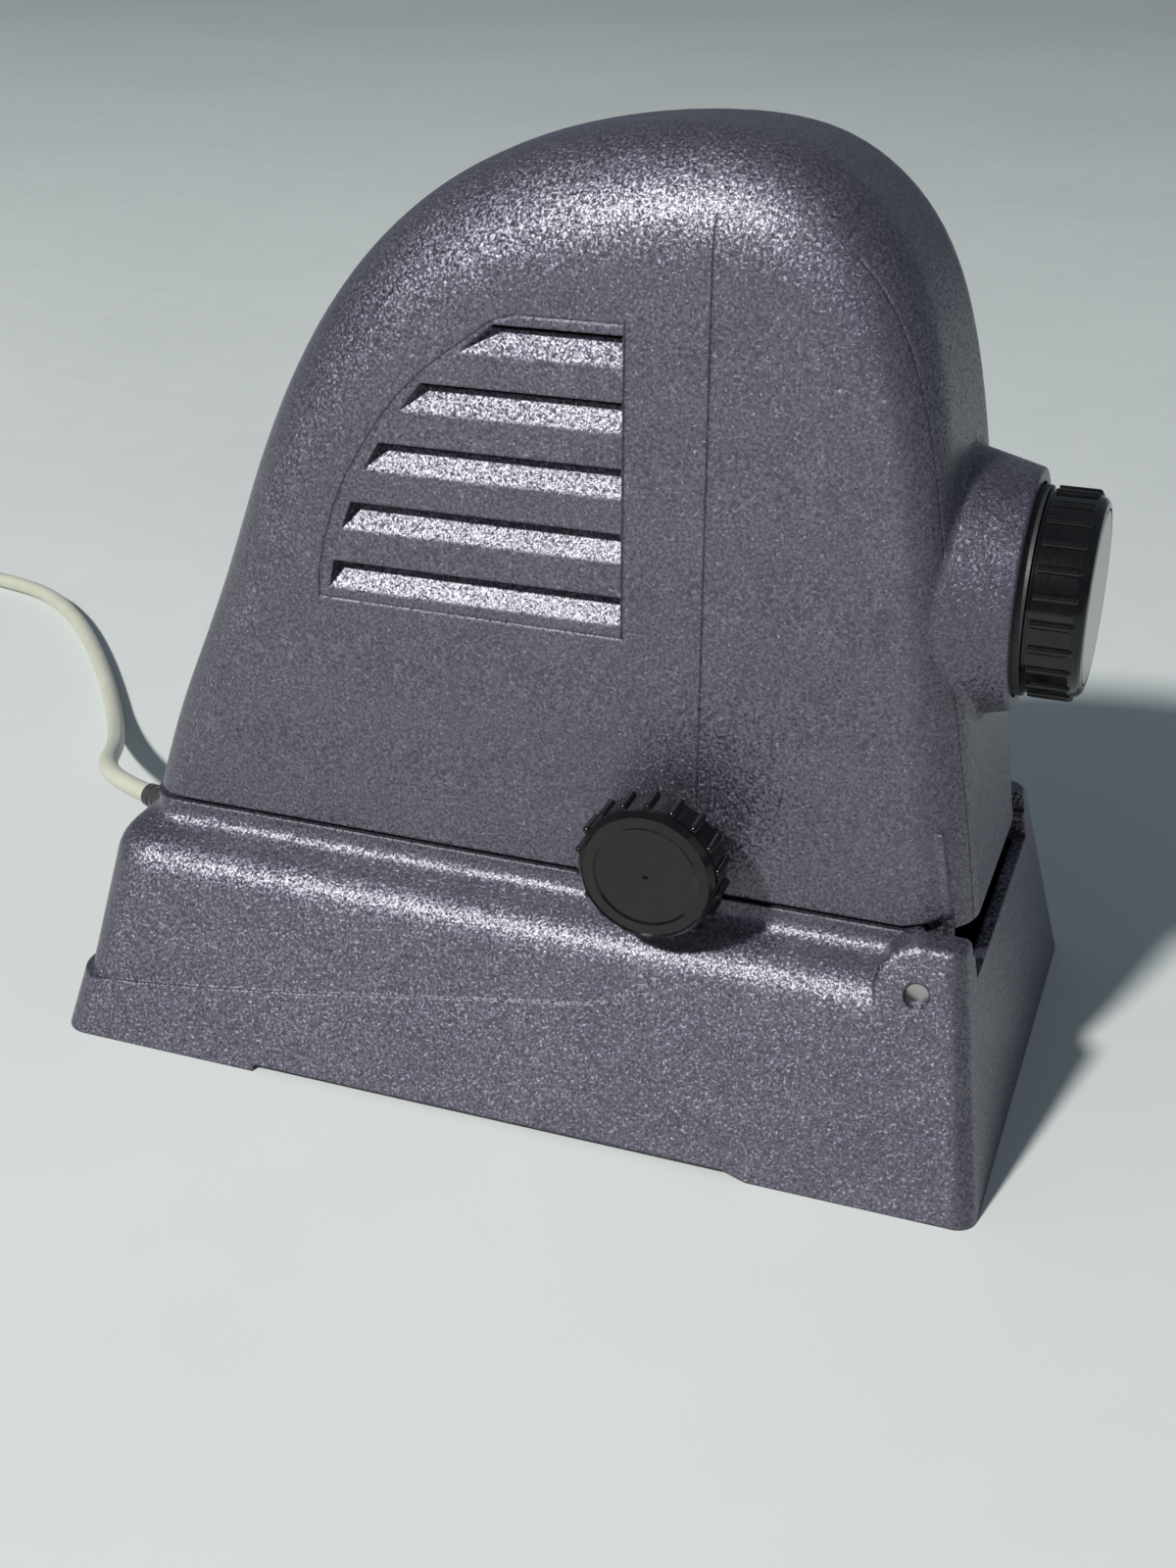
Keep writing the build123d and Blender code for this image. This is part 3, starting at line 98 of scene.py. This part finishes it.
def coil_points():
    """in at the top, three and a half turns inwards, up a layer, and as many out again"""
    pts = []
    start = math.radians(97.0)
    n = int(TURNS * PER_TURN)
    for i in range(n + 1):
        t = i / PER_TURN
        a = start + 2 * math.pi * t
        r = R_OUT - PITCH * t
        pts.append((COIL[0] + r * math.cos(a), COIL[1] + r * math.sin(a), CORD_R + 0.05))
    r_in = R_OUT - PITCH * TURNS
    a_in = start + 2 * math.pi * TURNS
    for i in range(1, 9):
        f = i / 8
        s = f * f * (3 - 2 * f)
        a = a_in + 2 * math.pi * i / PER_TURN
        pts.append((COIL[0] + r_in * math.cos(a), COIL[1] + r_in * math.sin(a), CORD_R + 0.05 + 5.75 * s))
    a_up = a_in + 2 * math.pi * 8 / PER_TURN
    a_end = math.radians(200.0) + 2 * math.pi * 7
    total = (a_end - a_up) / (2 * math.pi)
    n = int(round(total * PER_TURN))
    for i in range(1, n + 1):
        f = i / n
        a = a_up + (a_end - a_up) * f
        r = r_in + (R_OUT - r_in) * f
        pts.append((COIL[0] + r * math.cos(a), COIL[1] + r * math.sin(a), CORD_R + 5.8))
    return pts


TAIL = [(-485.0, 106.0, 8.4), (-474.5, 90.5, 8.0), (-460.0, 83.2, 7.4), (-447.0, 82.0, 7.0)]


def nurbs(name, points, radius):
    cu = bpy.data.curves.new(name, "CURVE")
    cu.dimensions = "3D"
    sp = cu.splines.new("NURBS")
    sp.points.add(len(points) - 1)
    for p, q in zip(sp.points, points):
        v = mm(*q)
        p.co = (v.x, v.y, v.z, 1.0)
    sp.order_u = 3
    sp.use_endpoint_u = True
    sp.resolution_u = 6
    cu.bevel_depth = radius / 1000.0
    cu.bevel_resolution = 6
    cu.use_fill_caps = True
    ob = bpy.data.objects.new(name, cu)
    COL.objects.link(ob)
    return ob


cord = nurbs("flex_cord", ROUTE + coil_points() + TAIL, CORD_R)


# ---------------------------------------------------------------- shader helpers
class Net:
    def __init__(self, name):
        self.mat = bpy.data.materials.new(name)
        self.mat.use_nodes = True
        self.nt = self.mat.node_tree
        for n in list(self.nt.nodes):
            if n.type != "OUTPUT_MATERIAL":
                self.nt.nodes.remove(n)
        self.out = [n for n in self.nt.nodes if n.type == "OUTPUT_MATERIAL"][0]
        self.p = self.nt.nodes.new("ShaderNodeBsdfPrincipled")
        self.link(self.p.outputs["BSDF"], self.out.inputs["Surface"])
        tc = self.nt.nodes.new("ShaderNodeTexCoord")
        mp = self.nt.nodes.new("ShaderNodeMapping")
        mp.inputs["Scale"].default_value = (1000.0, 1000.0, 1000.0)
        self.link(tc.outputs["Object"], mp.inputs["Vector"])
        self.co = mp.outputs["Vector"]  # in millimetres

    def link(self, a, b):
        self.nt.links.new(a, b)

    def set(self, **kw):
        for k, v in kw.items():
            k = k.replace("_", " ")
            names = {i.name.lower(): i for i in self.p.inputs}
            i = names[k.lower()]
            i.default_value = v
        return self

    def scaled(self, sx, sy=None, sz=None):
        mp = self.nt.nodes.new("ShaderNodeMapping")
        mp.inputs["Scale"].default_value = (sx, sy if sy is not None else sx, sz if sz is not None else sx)
        self.link(self.co, mp.inputs["Vector"])
        return mp.outputs["Vector"]

    def noise(self, scale, detail=2.0, rough=0.5, co=None, dist=0.0):
        n = self.nt.nodes.new("ShaderNodeTexNoise")
        n.inputs["Scale"].default_value = scale
        n.inputs["Detail"].default_value = detail
        n.inputs["Roughness"].default_value = rough
        n.inputs["Distortion"].default_value = dist
        self.link(co or self.co, n.inputs["Vector"])
        return n

    def voronoi(self, scale, feature="F1", smooth=None, co=None, rand=1.0):
        n = self.nt.nodes.new("ShaderNodeTexVoronoi")
        n.feature = feature
        n.inputs["Scale"].default_value = scale
        n.inputs["Randomness"].default_value = rand
        if smooth is not None:
            n.inputs["Smoothness"].default_value = smooth
        self.link(co or self.co, n.inputs["Vector"])
        return n

    def ramp(self, fac, stops, interp="LINEAR"):
        r = self.nt.nodes.new("ShaderNodeValToRGB")
        r.color_ramp.interpolation = interp
        e = r.color_ramp.elements
        while len(e) < len(stops):
            e.new(0.5)
        for el, (pos, c) in zip(e, stops):
            el.position = pos
            el.color = c if len(c) == 4 else (*c, 1.0)
        self.link(fac, r.inputs["Fac"])
        return r.outputs["Color"]

    def span(self, fac, lo, hi, a=0.0, b=1.0):
        r = self.nt.nodes.new("ShaderNodeMapRange")
        r.inputs["From Min"].default_value = a
        r.inputs["From Max"].default_value = b
        r.inputs["To Min"].default_value = lo
        r.inputs["To Max"].default_value = hi
        self.link(fac, r.inputs["Value"])
        return r.outputs["Result"]

    def math(self, op, a, b=None):
        n = self.nt.nodes.new("ShaderNodeMath")
        n.operation = op
        for i, v in enumerate((a, b)):
            if v is None:
                continue
            if isinstance(v, (int, float)):
                n.inputs[i].default_value = v
            else:
                self.link(v, n.inputs[i])
        return n.outputs[0]

    def vmath(self, op, a, b=None, scale=None):
        n = self.nt.nodes.new("ShaderNodeVectorMath")
        n.operation = op
        for i, v in enumerate((a, b)):
            if v is None:
                continue
            if isinstance(v, tuple):
                n.inputs[i].default_value = v
            else:
                self.link(v, n.inputs[i])
        if scale is not None:
            n.inputs["Scale"].default_value = scale
        return n.outputs[0]

    def mix(self, fac, a, b, blend="MIX"):
        n = self.nt.nodes.new("ShaderNodeMix")
        n.data_type = "RGBA"
        n.blend_type = blend
        if isinstance(fac, (int, float)):
            n.inputs[0].default_value = fac
        else:
            self.link(fac, n.inputs[0])
        for i, v in ((6, a), (7, b)):
            if isinstance(v, tuple):
                n.inputs[i].default_value = v if len(v) == 4 else (*v, 1.0)
            else:
                self.link(v, n.inputs[i])
        return n.outputs[2]

    def bump(self, height, dist_mm, strength=1.0, normal=None):
        n = self.nt.nodes.new("ShaderNodeBump")
        n.inputs["Distance"].default_value = dist_mm / 1000.0
        n.inputs["Strength"].default_value = strength
        self.link(height, n.inputs["Height"])
        if normal is not None:
            self.link(normal, n.inputs["Normal"])
        return n.outputs["Normal"]

    def to(self, socket, out):
        names = {i.name.lower(): i for i in self.p.inputs}
        self.link(out, names[socket.lower()])
        return self


# ---------------------------------------------------------------- materials
def hammer_paint():
    n = Net("hammer_paint")
    n.set(Metallic=0.85, Coat_Weight=0.6, Coat_Roughness=0.3, Coat_IOR=1.5)
    warp = n.noise(0.7, 2.0)
    wv = n.vmath("SCALE", n.vmath("SUBTRACT", warp.outputs["Color"], (0.5, 0.5, 0.5)), scale=0.9)
    co = n.vmath("ADD", n.co, wv)
    cells = n.voronoi(1.7, co=co)
    fine = n.noise(1.5, 1.5, 0.6, co=co)
    big = n.noise(0.06, 3.0, 0.55)
    mid = n.noise(1.5, 2.5, 0.55)
    base = n.ramp(
        mid.outputs["Fac"],
        [(0.36, (0.070, 0.066, 0.087)), (0.5, (0.118, 0.112, 0.142)), (0.64, (0.178, 0.168, 0.208))],
    )
    sp = n.nt.nodes.new("ShaderNodeSeparateColor")
    n.link(cells.outputs["Color"], sp.inputs["Color"])
    cell = n.ramp(sp.outputs[0], [(0.0, (0.80, 0.79, 0.81)), (0.7, (1.0, 1.0, 1.0)), (1.0, (1.25, 1.24, 1.28))])
    col = n.mix(1.0, base, cell, "MULTIPLY")
    tone = n.ramp(big.outputs["Fac"], [(0.3, (0.92, 0.91, 0.95)), (0.7, (1.08, 1.07, 1.05))])
    col = n.mix(1.0, col, tone, "MULTIPLY")
    n.to("Base Color", col)
    n.to("Roughness", n.span(mid.outputs["Fac"], 0.46, 0.58, 0.3, 0.7))
    geo = n.nt.nodes.new("ShaderNodeBevel")  # paint rounds every edge
    geo.samples = 4
    geo.inputs["Radius"].default_value = 0.0008
    tilt = n.vmath("SCALE", n.vmath("SUBTRACT", fine.outputs["Color"], (0.5, 0.5, 0.5)), scale=1.6)
    nrm = n.vmath("NORMALIZE", n.vmath("ADD", geo.outputs["Normal"], tilt))
    soft = n.vmath("SCALE", n.vmath("SUBTRACT", fine.outputs["Color"], (0.5, 0.5, 0.5)), scale=1.0)
    cnrm = n.vmath("NORMALIZE", n.vmath("ADD", geo.outputs["Normal"], soft))
    h = n.math("ADD", n.math("MULTIPLY", n.math("SUBTRACT", 1.0, cells.outputs["Distance"]), 0.55), n.math("MULTIPLY", mid.outputs["Fac"], 0.9))
    bump = n.bump(h, 0.10, 0.8, nrm)
    n.to("Normal", bump)
    n.to("Coat Normal", n.bump(h, 0.06, 0.7, cnrm))
    return n.mat


def bakelite():
    n = Net("black_phenolic")
    n.set(Metallic=0.0, IOR=1.4, Coat_Weight=0.05, Coat_Roughness=0.05)
    a = n.noise(0.25, 3.0)
    n.to("Base Color", n.ramp(a.outputs["Fac"], [(0.3, (0.0025, 0.0026, 0.003)), (0.7, (0.005, 0.005, 0.005))]))
    b = n.noise(1.8, 4.0, 0.6)
    n.to("Roughness", n.span(b.outputs["Fac"], 0.09, 0.17, 0.3, 0.7))
    n.to("Normal", n.bump(n.noise(3.5, 2.0).outputs["Fac"], 0.006, 0.5))
    return n.mat


def metal(name, color, rough=(0.22, 0.4), stretch=(1, 1, 1), grain=2.2, dist=0.01, color2=None, spots=0.0):
    n = Net(name)
    n.set(Metallic=1.0)
    g = n.noise(grain, 4.0, 0.62, co=n.scaled(*stretch))
    low = n.noise(0.09, 3.0)
    c2 = color2 or tuple(c * 0.82 for c in color)
    col = n.ramp(low.outputs["Fac"], [(0.32, c2), (0.66, color)])
    if spots:
        s = n.noise(0.7, 5.0, 0.7)
        col = n.mix(n.span(s.outputs["Fac"], 0.0, spots, 0.58, 0.75), col, tuple(c * 0.45 for c in color))
    n.to("Base Color", col)
    n.to("Roughness", n.span(g.outputs["Fac"], rough[0], rough[1], 0.3, 0.7))
    n.to("Normal", n.bump(g.outputs["Fac"], dist, 0.5))
    return n.mat


def enamel(name, color, rough=(0.42, 0.58)):
    n = Net(name)
    n.set(Metallic=0.0, IOR=1.5)
    g = n.noise(1.4, 4.0, 0.6)
    low = n.noise(0.1, 3.0)
    n.to("Base Color", n.ramp(low.outputs["Fac"], [(0.3, tuple(c * 0.75 for c in color)), (0.7, tuple(c * 1.25 for c in color))]))
    n.to("Roughness", n.span(g.outputs["Fac"], rough[0], rough[1], 0.3, 0.7))
    n.to("Normal", n.bump(g.outputs["Fac"], 0.015, 0.6))
    return n.mat


def dielectric(name, color, rough, var=0.12, grain=1.2, dist=0.02, ior=1.5, coat=0.0, sheen=0.0):
    n = Net(name)
    n.set(Metallic=0.0, IOR=ior, Coat_Weight=coat, Coat_Roughness=0.1, Sheen_Weight=sheen)
    low = n.noise(0.07, 4.0, 0.6)
    g = n.noise(grain, 3.0, 0.6)
    n.to("Base Color", n.ramp(low.outputs["Fac"], [(0.3, tuple(c * (1 - var) for c in color)), (0.7, tuple(min(1, c * (1 + var * 0.5)) for c in color))]))
    n.to("Roughness", n.span(g.outputs["Fac"], rough - 0.06, rough + 0.06, 0.3, 0.7))
    n.to("Normal", n.bump(g.outputs["Fac"], dist, 0.6))
    return n.mat


def glass(name, tint, rough=0.01, ior=1.52):
    n = Net(name)
    n.set(Metallic=0.0, IOR=ior, Transmission_Weight=1.0)
    g = n.noise(0.12, 2.0)
    n.to("Base Color", n.ramp(g.outputs["Fac"], [(0.3, tuple(c * 0.97 for c in tint)), (0.7, tint)]))
    d = n.noise(0.9, 5.0, 0.7)
    n.to("Roughness", n.span(d.outputs["Fac"], rough, rough + 0.03, 0.45, 0.8))
    return n.mat


MAT = {
    "hammered_paint": hammer_paint(),
    "bakelite": bakelite(),
    "alu_satin": metal("satin_aluminium", (0.66, 0.66, 0.67), (0.22, 0.38), (1, 0.2, 0.2), 2.0),
    "steel_plated": metal("plated_steel", (0.55, 0.55, 0.52), (0.3, 0.5), (1, 1, 1), 1.2, spots=0.3),
    "steel_dark": enamel("black_enamel", (0.022, 0.022, 0.024)),
    "steel_pin": metal("drawn_steel", (0.44, 0.43, 0.41), (0.24, 0.42), (0.3, 2, 2), 1.5, spots=0.5),
    "brass": metal("turned_brass", (0.72, 0.53, 0.25), (0.2, 0.4), (1, 1, 1), 2.4, spots=0.25),
    "spring_steel": metal("spring_steel", (0.5, 0.5, 0.5), (0.2, 0.35)),
    "optic_glass": glass("optical_glass", (0.97, 0.985, 0.98)),
    "heat_glass": glass("heat_filter_glass", (0.72, 0.88, 0.84)),
    "lamp_glass": glass("lamp_glass", (0.985, 0.985, 0.98)),
    "lamp_cap_metal": metal("lamp_cap_metal", (0.7, 0.68, 0.63), (0.25, 0.45), spots=0.2),
    "tungsten": metal("tungsten", (0.2, 0.2, 0.21), (0.35, 0.5)),
    "porcelain": dielectric("porcelain", (0.80, 0.78, 0.71), 0.16, 0.06, 0.5, 0.01, coat=0.4),
    "mirror_alu": metal("bright_reflector", (0.83, 0.83, 0.84), (0.05, 0.12), (1, 1, 1), 0.8, 0.004),
    "rubber_black": dielectric("black_rubber", (0.018, 0.018, 0.018), 0.62, 0.3, 1.6, 0.03, sheen=0.2),
    "cord_cream": dielectric("cream_flex", (0.44, 0.45, 0.36), 0.42, 0.08, 0.8, 0.03, sheen=0.1),
    "plug_cream": dielectric("cream_plug", (0.45, 0.45, 0.36), 0.38, 0.1, 1.0, 0.015),
    "lead_cloth": dielectric("sleeved_lead", (0.60, 0.56, 0.45), 0.8, 0.15, 2.4, 0.08, sheen=0.4),
}
for name, ob in NODES.items():
    mat = MAT[SLOT_OF[name]]
    ob.data.materials.clear()
    ob.data.materials.append(mat)
    ob.data.polygons.foreach_set("material_index", [0] * len(ob.data.polygons))

cord.data.materials.append(MAT["cord_cream"])
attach(cord, "base")
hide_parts("mains_cord", "cord_coil")

# ---------------------------------------------------------------- floor, light
fm = bpy.data.meshes.new("floor")
bm = bmesh.new()
bmesh.ops.create_grid(bm, x_segments=1, y_segments=1, size=6.0)
bm.to_mesh(fm)
bm.free()
floor = bpy.data.objects.new("floor", fm)
floor.location = (0, 0, -0.0001)
COL.objects.link(floor)
fl = Net("floor_paint")
fl.set(Metallic=0.0)
fl.to("Base Color", fl.ramp(fl.noise(0.004, 3.0).outputs["Fac"], [(0.3, (0.565, 0.605, 0.585)), (0.7, (0.605, 0.645, 0.625))]))
fl.to("Roughness", fl.span(fl.noise(0.05, 3.0).outputs["Fac"], 0.5, 0.62, 0.3, 0.7))
floor.data.materials.append(fl.mat)

SUN = Vector((-0.304, -0.652, 0.695)).normalized()


def area(name, direction, dist, size, power, color=(1, 1, 1), target=Vector((0.0, 0.0, 0.09))):
    ld = bpy.data.lights.new(name, "AREA")
    ld.shape = "DISK"
    ld.size = size
    ld.energy = power
    ld.color = color
    ob = bpy.data.objects.new(name, ld)
    d = Vector(direction).normalized()
    ob.location = target + d * dist
    ob.rotation_mode = "QUATERNION"
    ob.rotation_quaternion = (-d).to_track_quat("-Z", "Y")
    COL.objects.link(ob)
    return ob


area("key", SUN, 4.0, 0.34, 350.0, (1.0, 0.985, 0.965))
area("fill", (-0.8, -0.5, 0.5), 2.4, 1.8, 1.5, (0.93, 0.96, 1.0))
area("front", (0.95, -0.2, 0.45), 2.2, 1.2, 2.2, (0.95, 0.97, 1.0))

world = bpy.data.worlds.new("world")
bpy.context.scene.world = world
world.use_nodes = True
bg = world.node_tree.nodes["Background"]
bg.inputs["Color"].default_value = (0.70, 0.82, 1.0, 1.0)
bg.inputs["Strength"].default_value = 0.32
sc = bpy.context.scene
sc.view_settings.view_transform = "Standard"
sc.view_settings.look = "None"
sc.view_settings.exposure = -0.72
